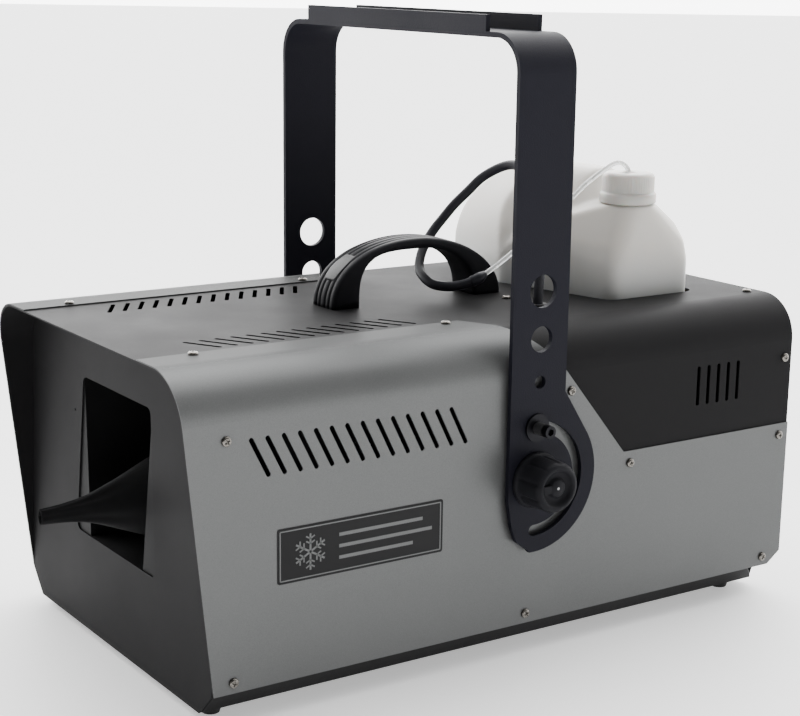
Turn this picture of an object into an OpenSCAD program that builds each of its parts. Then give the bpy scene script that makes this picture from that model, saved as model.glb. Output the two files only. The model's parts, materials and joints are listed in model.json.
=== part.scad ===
// Snow (foam) machine: sheet-metal housing with a rear fluid tank and a tilting yoke.
// The front faces -Y, the machine stands on z = 0, and x = 0 is its middle plane.

/* [Housing] */
// Length of the housing from the front panel's foot to the rear edge
body_l = 550; // [546:1:556]
// Width over the two side panels
body_w = 327; // [323:1:331]
// Height of the side panels' top strips over the floor
body_h = 258; // [256:1:262]
// Outer radius of the two long top bends
bend_r = 36; // [30:1:38]
// How far the hood stands forward of the front panel's foot
hood_l = 24; // [18:1:26]
// Thickness of the cover and the front, rear and base sheets
sheet = 1.2; // [1:0.1:1.5]
// Thickness of the two side panels
side_sheet = 1; // [0.8:0.1:1]
// Height of the side panels' lower edge over the floor
skirt_z = 25; // [24:1:27]
// Height of the base sheet over the floor
base_z = 6; // [5:1:7]
// Backward lean of the front panel, degrees
panel_lean = 2; // [1.5:0.1:2.2]

/* [Vents] */
// Slots in each slanted row
slot_count = 14; // [8:1:14]
// Distance between slots in a row
slot_pitch = 12.85; // [12.6:0.05:12.9]
// Length of a slanted slot
slot_l = 33; // [28:1:34]
// Width of every slot
slot_w = 3.6; // [3:0.1:4]

/* [Outlet] */
// Height of the outlet opening
outlet_h = 126; // [120:1:128]
// Width of the outlet opening along its upper edge
outlet_top_w = 120; // [116:1:122]
// Width of the outlet opening along its lower edge
outlet_low_w = 140; // [134:1:142]
// Height of the opening's middle
outlet_z = 147; // [146:1:148]
// Height of the blower, nozzle and sock axis
nozzle_z = 122; // [120:1:124]
// Outer radius of the nozzle pipe
nozzle_r = 33; // [31:1:34]
// How far the sock's tip stands forward of the panel's foot
sock_tip = 53; // [40:1:53]

/* [Yoke] */
// Distance between the inner faces of the yoke's legs
yoke_inner = 332; // [332:1:336]
// Thickness of the yoke's flat bar
yoke_t = 4; // [3:0.5:4]
// Width of the yoke's flat bar
yoke_w = 52; // [46:1:54]
// Height of the crossbar's top face
yoke_top = 477; // [476:1:500]
// Distance of the tilt pivot behind the front panel's foot
pivot_y = 273; // [270:1:276]
// Height of the tilt pivot
pivot_z = 143.5; // [142:0.5:146]
// Radius of the quadrant plate about the pivot
quadrant_r = 58.5; // [56:0.5:60]
// Radius of the guide slot's middle line
guide_r = 41; // [40:0.5:42]
// Outer radius of the tilt knobs
knob_r = 20.5; // [18:0.5:22]

/* [Tank] */
// Width of the fluid tank
tank_w = 230; // [224:1:232]
// Depth of the fluid tank across its middle, front to back
tank_d = 146; // [140:1:148]
// Depth of the fluid tank at its two ends
tank_end_d = 92; // [88:1:96]
// Height of the tank's underside over the floor
tank_z = 168; // [160:1:174]

/* [Handle] */
// Length of the carrying handle
handle_l = 165; // [160:1:168]
// Height of the carrying handle
handle_h = 51.5; // [50:0.5:54]
// Width of the carrying handle
handle_w = 34; // [30:1:36]

/* [Hidden] */
$fn = 48;

eps = 0.01;
big = 700;
lap = 0.1;                                  // gap between lapped sheets
fit = 0.2;                                  // gap round a fitted piece

side_x = body_w / 2;                        // outer face of the side panels
cover_x = side_x - side_sheet - lap;        // outer face of the cover's sides
cover_top = body_h - side_sheet - lap;      // upper face of the cover
cover_r = bend_r - side_sheet - lap;
inner_x = cover_x - sheet;                  // inner face of the cover's sides
inner_top = cover_top - sheet;
inner_r = cover_r - sheet;
strip_x = 102;                              // inner edge of the side panels' top strips
panel_foot = -1.3;                          // front face of the front panel at the base
flank = skirt_z - base_z;                   // rise of the base tray's slanted flanks
tray_x = inner_x - flank;                   // half width of the tray's flat floor
tray_end = body_l - 12;
rear_y = body_l - 3;                        // front face of the rear panel

screw_shank_r = 1.95;
screw_hole_r = 2.1;
screw_head_r = 3.8;
screw_head_h = 2.2;
// Side screws as distance back and height; the last one sits on the bare cover
side_screws = [[12, 209], [15.5, 33], [272.5, 33], [374, 140], [311, 207], [540, 140], [529, 33]];
cover_screw = [542, 207];
strip_screws = [16.5, 231];                 // along the top strips
strip_screw_x = 107.5;
rear_top_screw = [119, 536.5];
clip_screw = [42, 338];

side_row_y = 30.4;                          // upper end of the side row's first slot
side_row_z = 194;                           // middle height of the side row
side_slant = 27;                            // lean of the side slots from upright, degrees
top_row_x = 77.6;                           // middle of each top row
top_row_y = 39;
top_slant = 60;                             // turn of the top slots from front to back, degrees
rear_slots = 5;
rear_slot_y = 445;
rear_slot_pitch = 10.9;
rear_slot_z = 194;

split_z = 150;                              // lower edge of the bare rear part of the cover
split_y = 367;                              // where that edge turns up
split_lean = 39.7;                          // lean of the diagonal edge from upright, degrees
split_yaw = 21.4;                           // its turn over the top bend, degrees
rim_d = 22;                                 // depth of the front panel's rim
rear_rim_d = 14;                            // depth of the rear panel's rim
corner_cut = [15, 11];                      // length and height of the clipped rear corners
rear_vent_z = 112;                          // middle height of the rear panel's vents
rear_vent_l = 26;
rim_z = 54;                                 // lower end of those rims

guide_hole_r = 3.3;
guide_screw_r = 3;
slot_half = 4.5;                            // half width of the guide slot
stud_r = 4.55;
stud_hole_r = 4.9;
pivot_hole_r = 4.6;
yoke_in_x = yoke_inner / 2;
yoke_out_x = yoke_in_x + yoke_t;
yoke_bend = 28.5;
lip_h = 12;
// Holes in each leg: height over the pivot, offset back, radius
leg_holes = [[76, 2.2, 5], [109, 2.3, 10], [145.5, 2.5, 12.5]];
hook_hole_r = 6.5;
knob_gap = 0.3;
knob_h = 29;

tank_x = -24;                               // middle of the tank
tank_y = 453;
tank_corner = 10;
tank_wall = 2.5;
tank_gap = 2.5;                             // gap between the tank and its opening
wall_top = 284;                             // upper end of the tank's upright walls
hump_z = 276;                               // height where the hump starts to round off
hump_h = 80;
hump_x = 26;                                // right end of the hump
cap_x = 66.5;
cap_y = 444;
neck_r = 19;
boss_r = 23.4;                              // radius of the shoulder under the cap
boss_z = 332;
cap_z = 334;                                // underside of the cap
cap_h = 24;

tube_r = 2;
hose_r = 4;
pump_hose_r = 3;
grommet = [84, 338];
hose_joint = [42, 309, 276];                // where the clear tube enters the black hose
// Routes of the free hose, the clear tube and the pump's own hose, in round numbers
hose_route = [
    hose_joint, [37, 303, 272], [30, 296, 269], [22, 289, 268], [12, 284, 269], [1, 283, 273],
    [-10, 286, 278], [-19, 293, 286], [-25, 302, 296], [-28, 312, 306], [-28, 322, 316],
    [-25, 331, 327], [-20, 341, 338], [-13, 349, 349], [-3, 356, 357], [9, 360, 362],
    [22, 361, 363], [36, 359, 360], [49, 356, 353], [60, 352, 343], [69, 348, 330],
    [76, 344, 315], [81, 341, 298], [84, 339, 281], [84, 338, 262], [84, 338, 245],
    [84, 338, 220], [84, 338, 195], [84, 338, 170], [84, 337, 145], [84, 334, 120],
    [84, 330, 100], [84, 328, 84], [84, 328, 71]
];
tube_route = [
    [66.5, 444, 352], [66.5, 444, 358], [66, 441, 363], [65, 435, 366], [64, 428, 365],
    [61, 417, 358], [58, 405, 349], [55, 393, 338], [52, 380, 327], [49, 367, 316],
    [47, 354, 305], [46, 341, 296], [45, 329, 288], [44, 319, 282], hose_joint
];
pump_route = [
    [84, 262, 40], [84, 250, 40], [86, 235, 35], [89, 215, 28], [91, 190, 24], [92, 160, 22],
    [92, 130, 22], [92, 112, 28], [92, 100, 42], [92, 95, 65], [92, 92, 100], [92, 90, 140],
    [90, 87, 180], [86, 82, 208], [74, 75, 226], [56, 67, 234], [36, 60, 236], [18, 56, 236],
    [5, 55, 235], [0, 55, 229], [0, 55, 220]
];

chute_low = 47;                             // half width of the chute's floor
handle_y = 268.5;
handle_screw_y = [199, 337];
shaft_r = 4;
blower_y = 118;                             // front face of the blower housing
blower_l = 67;
blower_r = 62;
motor_y = blower_y + blower_l + 2.2;
motor_l = 76;
pump_y = 262;
pump_z = 40;
control_z = 72;                             // height of the rear controls
knob_y = rear_y + sheet + 0.4;              // base of the output knob
knob_l = 13.6;
// The machine's own middle, from the sock's tip to the output knob's mark
mid_y = (knob_y + knob_l + 0.8 - sock_tip) / 2;

// ---- helpers --------------------------------------------------------------------

// Extrudes an (x, z) outline towards +Y from y = y0
module along_y(y0, l) translate([0, y0 + l, 0]) rotate([90, 0, 0]) linear_extrude(l) children();

// Extrudes a (y, z) outline towards +X from x = x0
module along_x(x0, l) translate([x0, 0, 0]) rotate([90, 0, 90]) linear_extrude(l) children();

// A cylinder along +X or +Y
module rod_x(r, x0, l) translate([x0, 0, 0]) rotate([0, 90, 0]) cylinder(r = r, h = l);
module rod_y(r, y0, l) translate([0, y0 + l, 0]) rotate([90, 0, 0]) cylinder(r = r, h = l);

// Puts the frame's origin under the middle of the machine
module placed() translate([0, -mid_y, 0]) children();

module both_sides() {
    children();
    mirror([1, 0, 0]) children();
}

module slot_2d(l, w) {
    square([l - w, w], center = true);
    for (s = [-1, 1]) translate([s * (l - w) / 2, 0]) circle(w / 2);
}

// A polygon with round corners, from its corner centres and the headings of its sides
module rounded_outline(centres, sides, r) {
    n = len(centres);
    for (p = centres) translate(p) circle(r);
    polygon([
        for (i = [0 : n - 1], p = [centres[i], centres[(i + 1) % n]])
            p + r * [cos(sides[i]), sin(sides[i])]
    ]);
}

module rounded_square(w, h, r) {
    square([w, h - 2 * r], center = true);
    square([w - 2 * r, h], center = true);
    for (sx = [-1, 1], sy = [-1, 1]) translate([sx * (w / 2 - r), sy * (h / 2 - r)]) circle(r);
}

// Arch outline with round upper corners, from z = bottom up
module tunnel(half, top, r, bottom) {
    translate([-half, bottom]) square([2 * half, top - r - bottom]);
    translate([r - half, top - r - eps]) square([2 * (half - r), r + eps]);
    for (s = [-1, 1]) translate([s * (half - r), top - r]) circle(r, $fn = 96);
}

// The folded rim of a panel with that outline, from z = bottom up
module rim(half, top, r, bottom) difference() {
    tunnel(half, top, r, bottom);
    tunnel(half - sheet, top - sheet, r - sheet, bottom - 10);
}

// Everything in front of the hood's slanted edge
module hood_cut() {
    slope = hood_l / (body_h - skirt_z);
    along_x(-big / 2, big) polygon([
        [-200, -50], [(50 + skirt_z) * slope, -50], [-(400 - skirt_z) * slope, 400], [-200, 400]
    ]);
}

// The clipped lower rear corner of the side sheets
module rear_corner_cut() along_x(-big / 2, big) polygon([
    [body_l - corner_cut[0], skirt_z - 1], [body_l + 1, skirt_z - 1],
    [body_l + 1, skirt_z + corner_cut[1]]
]);

module side_slots() {
    for (i = [0 : slot_count - 1])
        translate([0, side_row_y + i * slot_pitch + slot_l / 2 * sin(side_slant), side_row_z])
            rotate([side_slant, 0, 0]) rotate([0, 90, 0])
                translate([0, 0, cover_x - 5]) linear_extrude(12) slot_2d(slot_l, slot_w);
}

module rear_side_slots() {
    for (i = [0 : rear_slots - 1])
        translate([0, rear_slot_y + i * rear_slot_pitch, rear_slot_z])
            rotate([0, 90, 0])
                translate([0, 0, cover_x - 5]) linear_extrude(12) slot_2d(slot_l, slot_w);
}

module top_slots() {
    for (i = [0 : slot_count - 1])
        translate([top_row_x, top_row_y + i * slot_pitch, cover_top - 5])
            rotate([0, 0, 90 - top_slant]) linear_extrude(10) slot_2d(slot_l, slot_w);
}

// Cylinders of radius r through the side sheets at every side screw
module side_holes(r) {
    for (p = side_screws) translate([0, p[0], p[1]]) rod_x(r, inner_x - 6, 20);
}

module yoke_holes(pivot, guide) {
    translate([0, pivot_y, pivot_z]) {
        rod_x(pivot, inner_x - 6, 20);
        translate([0, 0, guide_r]) rod_x(guide, inner_x - 6, 20);
    }
}

module cover_screw_hole() translate([0, cover_screw[0], cover_screw[1]])
    rod_x(screw_hole_r, inner_x - 6, 20);

module rear_top_hole() translate([rear_top_screw[0], rear_top_screw[1], cover_top - 8])
    cylinder(r = screw_hole_r, h = 20);

module strip_holes(r) {
    for (y = strip_screws) translate([strip_screw_x, y, cover_top - 8]) cylinder(r = r, h = 20);
}

// Pan-head screw along +Z with its seat at z = 0
module pan_screw(l) {
    difference() {
        union() {
            cylinder(r = screw_head_r, h = screw_head_h * 0.45);
            translate([0, 0, screw_head_h * 0.45])
                cylinder(r1 = screw_head_r, r2 = screw_head_r * 0.62, h = screw_head_h * 0.55);
            translate([0, 0, -l]) cylinder(r = screw_shank_r, h = l + eps);
        }
        for (a = [0, 90]) rotate([0, 0, a + 20])
            translate([-2.2, -0.45, screw_head_h - 1.3]) cube([4.4, 0.9, 2]);
    }
}

// A tube of radius r swept along a route as one polyhedron
function unit(v) = v / norm(v);
function route_dir(p, i) = unit(p[min(i + 1, len(p) - 1)] - p[max(i - 1, 0)]);
function route_side(p, i) =
    i == 0 ? unit(cross(route_dir(p, 0), [0.3, 0.9, 0.2]))
           : let (s = route_side(p, i - 1), d = route_dir(p, i)) unit(s - (s * d) * d);
module swept_tube(p, r, sides) {
    n = len(p);
    points = [
        for (i = [0 : n - 1])
            let (d = route_dir(p, i), u = route_side(p, i), v = cross(d, u))
                for (k = [0 : sides - 1])
                    p[i] + r * (cos(360 * k / sides) * u + sin(360 * k / sides) * v)
    ];
    walls = [
        for (i = [0 : n - 2], k = [0 : sides - 1])
            let (a = i * sides + k, b = i * sides + (k + 1) % sides)
                each [[a, a + sides, b], [b, a + sides, b + sides]]
    ];
    first = [for (k = [0 : sides - 1]) k];
    last = [for (k = [sides - 1 : -1 : 0]) (n - 1) * sides + k];
    polyhedron(points = points, faces = concat(walls, [first, last]), convexity = 6);
}

// ---- housing --------------------------------------------------------------------

module base_tray() {
    wall_x = inner_x - lap;
    color("#3a3a3c") difference() {
        union() {
            along_y(1, tray_end - 1) difference() {
                polygon([
                    [-tray_x, base_z], [tray_x, base_z], [wall_x, skirt_z], [wall_x, 50],
                    [-wall_x, 50], [-wall_x, skirt_z]
                ]);
                polygon([
                    [-tray_x + sheet / 2, base_z + sheet], [tray_x - sheet / 2, base_z + sheet],
                    [wall_x - sheet, skirt_z + sheet / 2], [wall_x - sheet, 60],
                    [-wall_x + sheet, 60], [-wall_x + sheet, skirt_z + sheet / 2]
                ]);
            }
            along_x(-tray_x + 1, 2 * tray_x - 2) polygon([
                [tray_end - 1, base_z], [tray_end, base_z], [rear_y - 1.5, skirt_z],
                [rear_y - 1.5, 50], [rear_y - 1.5 - sheet, 50], [rear_y - 1.5 - sheet, skirt_z],
                [tray_end - 1, base_z + sheet]
            ]);
        }
        // The side flanks stop short of the rear corners on a slant
        both_sides() linear_extrude(skirt_z) polygon([
            [tray_x, tray_end], [inner_x, tray_end - 23], [inner_x + 5, tray_end - 23],
            [inner_x + 5, tray_end + 5], [tray_x, tray_end + 5]
        ]);
        intersection() {
            rear_corner_cut();
            both_sides() translate([tray_x, 0, 0]) cube(big);
        }
        both_sides() side_holes(screw_hole_r);
        // The front end follows the lean of the front panel
        translate([0, panel_foot + sheet + fit, base_z]) rotate([-panel_lean, 0, 0])
            translate([-big / 2, -60, -20]) cube([big, 60, 120]);
        for (x = [-1, 1], y = [14, 512]) translate([x * 131, y, 0]) cylinder(r = 2.2, h = 20);
    }
}

module feet() {
    color("#18181a") for (x = [-1, 1], y = [14, 512]) translate([x * 131, y, 0]) difference() {
        union() {
            cylinder(r1 = 6.5, r2 = 8.5, h = base_z);
            cylinder(r = 2, h = base_z + sheet + 3);
        }
        translate([0, 0, -eps]) cylinder(r = 3, h = 1.5);
    }
}

module front_panel() {
    half = inner_x - fit;
    height = (inner_top - base_z) / cos(panel_lean) - 0.5;
    r = inner_r;
    color("#3c3c3e") translate([0, panel_foot, base_z]) rotate([-panel_lean, 0, 0])
        difference() {
            union() {
                along_y(0, sheet) {
                    polygon([[-tray_x, 0], [tray_x, 0], [half, flank], [-half, flank]]);
                    tunnel(half, height, r, flank - eps);
                }
                along_y(sheet - eps, rim_d) rim(half, height, r, rim_z - base_z);
            }
            translate([0, 0, outlet_z - base_z]) along_y(-1, 5) outlet_2d();
            translate([-74.5, 0, 174]) rod_y(1.1, -1, 5);
            rotate([panel_lean, 0, 0]) translate([0, -panel_foot, -base_z]) both_sides() {
                side_holes(screw_hole_r);
                strip_holes(screw_hole_r);
            }
        }
}

module cover_sheet() {
    along_y(-hood_l - 6, body_l + hood_l + 6) difference() {
        tunnel(cover_x, cover_top, cover_r, skirt_z);
        tunnel(inner_x, inner_top, inner_r, skirt_z - 10);
    }
}

module top_cover() {
    color("#353536") difference() {
        cover_sheet();
        hood_cut();
        rear_corner_cut();
        both_sides() {
            side_slots();
            rear_side_slots();
            top_slots();
            side_holes(screw_hole_r);
            cover_screw_hole();
            yoke_holes(stud_hole_r, guide_hole_r);
            strip_holes(screw_hole_r);
            rear_top_hole();
        }
        translate([clip_screw[0], clip_screw[1], cover_top - 8])
            cylinder(r = screw_hole_r, h = 20);
        for (y = handle_screw_y) translate([0, y, cover_top - 8]) cylinder(r = 2.8, h = 20);
        translate([grommet[0], grommet[1], cover_top - 8]) cylinder(r = 5.6, h = 20);
        translate([0, 0, cover_top - 8]) linear_extrude(20) tank_plan(-tank_gap);
    }
}

module side_panel() {
    in_x = side_x - side_sheet;
    in_top = body_h - side_sheet;
    difference() {
        along_y(-hood_l - 6, body_l + hood_l + 6) difference() {
            tunnel(side_x, body_h, bend_r, skirt_z);
            tunnel(in_x, in_top, bend_r - side_sheet, skirt_z - 10);
            translate([-big + strip_x, 0]) square([big, big]);
        }
        hood_cut();
        // Bare rear part: above the level edge and behind the diagonal one
        intersection() {
            translate([0, 0, split_z]) cube(big);
            translate([side_x, split_y, split_z]) rotate([split_lean, 0, 0])
                rotate([0, 0, split_yaw]) translate([-big / 2, 0, -200]) cube(big);
        }
        rear_corner_cut();
        side_slots();
        side_holes(screw_hole_r);
        yoke_holes(stud_hole_r, guide_hole_r);
        strip_holes(screw_hole_r);
    }
}

module side_panel_right() color("#8d9093") side_panel();
module side_panel_left() color("#8d9093") mirror([1, 0, 0]) side_panel();

module rear_panel() {
    half = inner_x - fit;
    top = inner_top - fit;
    r = inner_r - fit;
    color("#353536") difference() {
        union() {
            along_y(rear_y - rear_rim_d, rear_rim_d + eps) rim(half, top, r, rim_z);
            along_y(rear_y, sheet) difference() {
                tunnel(half, top, r, skirt_z + corner_cut[1] + fit);
                translate([-92, control_z]) square([28.4, 40.4], center = true);
                translate([-36, control_z]) square([22.4, 28.4], center = true);
                translate([20, control_z]) circle(4);
                translate([78, control_z]) circle(12);
                for (s = [-1, 1]) translate([78 + s * 9.5, control_z - s * 12]) circle(1.6);
                for (ix = [-6 : 6]) translate([ix * 11, rear_vent_z])
                    rotate(90) slot_2d(rear_vent_l, slot_w);
            }
        }
        both_sides() {
            side_holes(screw_hole_r);
            cover_screw_hole();
            rear_top_hole();
        }
    }
}

module cover_screws() {
    color("#b9bbbd") {
        both_sides() {
            for (p = side_screws) translate([side_x, p[0], p[1]]) rotate([0, 90, 0]) pan_screw(7);
            translate([cover_x, cover_screw[0], cover_screw[1]]) rotate([0, 90, 0]) pan_screw(6);
            for (y = strip_screws) translate([strip_screw_x, y, body_h]) pan_screw(7);
            translate([rear_top_screw[0], rear_top_screw[1], cover_top]) pan_screw(6);
        }
        translate([clip_screw[0], clip_screw[1], cover_top]) pan_screw(6);
    }
}

module socket_screws() {
    color("#b9bbbd") for (s = [-1, 1])
        translate([78 + s * 9.5, rear_y + sheet + 2.4, control_z - s * 12])
            rotate([-90, 0, 0]) scale(0.75) pan_screw(9);
}

// Hex screws that hold the handle from inside the housing
module handle_screws() {
    color("#9fa1a3") for (y = handle_screw_y) translate([0, y, inner_top]) {
        translate([0, 0, -4]) cylinder(r = 5, h = 4, $fn = 6);
        translate([0, 0, -eps]) cylinder(r = 2.5, h = 12);
    }
}

module name_plate() {
    color("#202022") along_x(side_x, 0.4)
        translate([121.5, 119]) rounded_square(141, 41, 2);
}

// ---- outlet and blower ----------------------------------------------------------

// The opening in the front panel, wider at the foot
module outlet_2d() {
    r = 6;
    up = outlet_h / 2 - r;
    top = outlet_top_w / 2 - r;
    low = outlet_low_w / 2 - r;
    flare = atan((low - top) / (2 * up));
    rounded_outline([[top, up], [-top, up], [-low, -up], [low, -up]],
                    [90, 180 - flare, 270, flare], r);
}

// Outline of the chute: full width at the top, narrower at the bottom
module chute_2d(grow) {
    low = outlet_z - outlet_h / 2;
    high = outlet_z + outlet_h / 2;
    polygon([
        [-chute_low - grow, low - grow], [chute_low + grow, low - grow],
        [outlet_top_w / 2 + grow, high + grow], [-outlet_top_w / 2 - grow, high + grow]
    ]);
}

module outlet_duct() {
    color("#1d1d1f") difference() {
        union() {
            along_y(2, 103) chute_2d(sheet);
            translate([0, panel_foot + sheet + 0.1, base_z]) rotate([-panel_lean, 0, 0])
                along_y(0, sheet) translate([0, outlet_z - base_z]) square(150, center = true);
        }
        along_y(-10, 103 - sheet + 12) chute_2d(0);
        translate([0, 0, nozzle_z]) rod_y(nozzle_r + 0.2, 90, 40);
        translate([0, panel_foot + sheet + 0.1, base_z]) rotate([-panel_lean, 0, 0])
            translate([-big / 2, -60, 0]) cube([big, 60, big]);
        translate([0, 55, 200]) cylinder(r = 4.2, h = 30);
    }
}

module nozzle_pipe() {
    color("#2a2a2c") translate([0, 0, nozzle_z]) difference() {
        rod_y(nozzle_r, 62.5, blower_y - 62.5);
        rod_y(nozzle_r - 1.6, 60, 80);
    }
}

// Fabric cone on the pipe's mouth, with a cuff round the pipe
module snow_sock() {
    cuff = nozzle_r + 1.6;
    reach = sock_tip + 62;
    color("#101012") translate([0, 62, nozzle_z]) rotate([90, 0, 0]) rotate_extrude() polygon([
        [0, 0], [nozzle_r + 0.2, 0], [nozzle_r + 0.2, -22], [cuff, -22], [cuff, reach * 0.1],
        [nozzle_r, reach * 0.17], [nozzle_r * 0.89, reach * 0.27], [nozzle_r * 0.77, reach * 0.35],
        [nozzle_r * 0.5, reach * 0.53], [nozzle_r * 0.37, reach * 0.65],
        [nozzle_r * 0.27, reach * 0.77], [nozzle_r * 0.21, reach * 0.87],
        [nozzle_r * 0.17, reach], [0, reach]
    ]);
}

module spray_nozzle() {
    color("#b08d45") translate([0, 55, 0]) difference() {
        union() {
            translate([0, 0, 192]) cylinder(r = 4, h = 28);
            translate([0, 0, outlet_z + outlet_h / 2 + sheet + 0.1]) cylinder(r = 8, h = 3);
            translate([0, 0, 186]) cylinder(r1 = 2, r2 = 4, h = 6);
        }
        translate([0, 0, 180]) cylinder(r = 1, h = 45);
    }
}

module blower_housing() {
    color("#262628") translate([0, 0, nozzle_z]) difference() {
        rod_y(blower_r, blower_y, blower_l);
        rod_y(blower_r - 2, blower_y + 2, blower_l - 4);
        rod_y(nozzle_r - 1.6, blower_y - 5, 20);
        rod_y(10, blower_y + blower_l - 10, 20);
        for (a = [0 : 45 : 315]) rotate([0, a, 0]) translate([36, 0, 0])
            rod_y(9, blower_y + blower_l - 10, 20);
    }
}

module impeller() {
    hub_y = blower_y + 20;
    color("#c9c9c4") translate([0, 0, nozzle_z]) difference() {
        union() {
            rod_y(54, hub_y + 24, 2);
            rod_y(9, hub_y, 26);
            for (a = [0 : 30 : 330]) rotate([0, a, 0])
                translate([16, hub_y + 4, -0.8]) cube([37, 21, 1.6]);
        }
        rod_y(shaft_r, hub_y - 5, 60);
    }
}

module motor_shaft() {
    color("#a8abae") translate([0, 0, nozzle_z]) rod_y(shaft_r, blower_y + 17, 118);
}

module blower_motor() {
    color("#4b4d50") translate([0, 0, nozzle_z]) difference() {
        union() {
            rod_y(38, motor_y, motor_l);
            rod_y(30, motor_y + motor_l - eps, 8);
            for (a = [45 : 90 : 315]) rotate([0, a, 0])
                translate([36, motor_y + 6, -4]) cube([5, motor_l - 12, 8]);
        }
        rod_y(shaft_r + 0.08, motor_y - 5, 72);
    }
}

module blower_stand() {
    color("#8b8e91") {
        along_y(blower_y + blower_l, 2) difference() {
            translate([-56, base_z + sheet]) square([112, 150]);
            translate([0, nozzle_z]) circle(10);
            for (a = [0 : 45 : 315])
                translate([36 * cos(a), nozzle_z + 36 * sin(a)]) circle(9);
        }
        translate([-56, blower_y + blower_l + 2 - eps, base_z + sheet]) cube([112, 24, 2]);
    }
}

// ---- pump, electrics ------------------------------------------------------------

module pump() {
    color("#5a5d60") translate([84, pump_y, pump_z]) {
        rod_y(4, 0, 12);
        translate([-15, 12, -15]) cube([30, 34, 30]);
        rod_y(11, 46 - eps, 28);
        translate([0, 66, 0]) cylinder(r = 4, h = 31);
    }
}

module pump_bracket() {
    color("#9a9da0") difference() {
        union() {
            translate([60, pump_y + 14, base_z + sheet]) cube([48, 30, 2]);
            for (x = [66.5, 99]) translate([x, pump_y + 14, base_z + sheet]) cube([2.5, 30, 30]);
        }
        for (x = [63, 105]) translate([x, pump_y + 29, 0]) cylinder(r = 2, h = 20);
    }
}

module pump_hose() color("#202022") swept_tube(pump_route, pump_hose_r, 8);

module control_board() {
    color("#1f6b3a") translate([-135, 330, base_z + sheet + 10]) difference() {
        cube([90, 130, 1.6]);
        for (x = [5, 85], y = [5, 125]) translate([x, y, -1]) cylinder(r = 1.8, h = 5);
    }
}

module board_parts() {
    z = base_z + sheet + 11.6;
    color("#2b4f8c") {
        for (i = [0 : 2]) translate([-128 + i * 24, 342, z]) cube([18, 15, 16]);
        translate([-90, 410, z]) cylinder(r = 11, h = 30);
        for (i = [0 : 3]) translate([-128, 380 + i * 18, z]) cube([12, 14, 9]);
        translate([-70, 428, z]) cube([18, 18, 24]);
    }
}

module board_posts() {
    color("#c8c8c8") for (x = [5, 85], y = [5, 125])
        translate([-135 + x, 330 + y, base_z + sheet]) {
            cylinder(r = 3, h = 10);
            cylinder(r = 1.7, h = 13);
        }
}

module transformer() {
    color("#6d5a3a") {
        translate([-120, 215, base_z + sheet]) cube([58, 48, 50]);
        translate([-126, 227, base_z + sheet]) cube([70, 24, 36]);
    }
}

module terminal_block() {
    color("#dddcd2") for (i = [0 : 4])
        translate([-20 + i * 11, 420, base_z + sheet]) difference() {
            cube([10.8, 22, 20]);
            translate([5.4, 6, 12]) cylinder(r = 2.4, h = 20);
            translate([5.4, 16, 12]) cylinder(r = 2.4, h = 20);
        }
}

// ---- tank -----------------------------------------------------------------------

// Corner centres of the tank's six-sided plan, and the same pushed out by its corner radius
plan_x = tank_w / 2 - tank_corner;
plan_end = tank_end_d / 2 - tank_corner;
plan_mid = tank_d / 2 - tank_corner;
plan_tilt = atan((plan_mid - plan_end) / plan_x);
plan_centres = [
    [plan_x, plan_end], [0, plan_mid], [-plan_x, plan_end],
    [-plan_x, -plan_end], [0, -plan_mid], [plan_x, -plan_end]
];
plan_faces = [90 - plan_tilt, 90 + plan_tilt, 180, 270 - plan_tilt, 270 + plan_tilt, 360];

// The tank's plan, drawn in by inset: the ends are straight and the long sides come to a
// blunt middle
module tank_plan(inset) translate([tank_x, tank_y])
    rounded_outline(plan_centres, plan_faces, tank_corner - inset);

module tank_tray() {
    floor_z = tank_z - 1.5;
    color("#3b3b3d") difference() {
        // Its walls end under the cover's flat top and left bend
        intersection() {
            translate([0, 0, floor_z - sheet]) linear_extrude(big)
                tank_plan(-tank_gap - sheet);
            along_y(0, body_l) tunnel(inner_x - fit, inner_top - lap, inner_r - lap, 0);
        }
        translate([0, 0, floor_z]) linear_extrude(big) tank_plan(-tank_gap);
    }
}

// A thin slice of the tank from x0 to x1 at height z, its depth scaled by k
module tank_slice(x0, x1, z, k, inset) translate([(x0 + x1) / 2, tank_y, z])
    scale([(x1 - x0) / tank_w, k, 1]) translate([-tank_x, -tank_y, 0])
        linear_extrude(0.1) tank_plan(inset);

// The bottle's outer shape, drawn in by inset on every side: upright walls under a shoulder
// that runs up to the neck, and a domed hump beside the neck
module tank_form(inset) {
    left = tank_x - tank_w / 2;
    right = tank_x + tank_w / 2;
    hull() {
        translate([0, 0, tank_z + inset]) linear_extrude(wall_top - tank_z - inset)
            tank_plan(inset);
        tank_slice(left + 6, right - 2, wall_top + 15 - inset / 2, 0.93, inset);
        tank_slice(left + 24, right - 7, wall_top + 30 - inset / 2, 0.74, inset);
        translate([cap_x, cap_y, boss_z - inset - 1]) cylinder(r = boss_r - inset, h = 1);
        translate([0, tank_y, boss_z - 6 - inset]) cylinder(r = 32 - inset, h = 1);
    }
    hull() for (a = [0 : 15 : 90]) {
        c = cos(a);
        tank_slice(left + 108 * (1 - c), hump_x + 16 * c, hump_z + (hump_h - inset) * sin(a),
                   0.08 + 0.88 * c, inset);
    }
}

module tank() {
    color("#e6e4dd") difference() {
        union() {
            tank_form(0);
            translate([cap_x, cap_y, boss_z - 20]) cylinder(r = neck_r, h = 38);
        }
        tank_form(tank_wall);
        translate([cap_x, cap_y, boss_z - 30]) cylinder(r = neck_r - 2.5, h = 60);
    }
}

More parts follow.
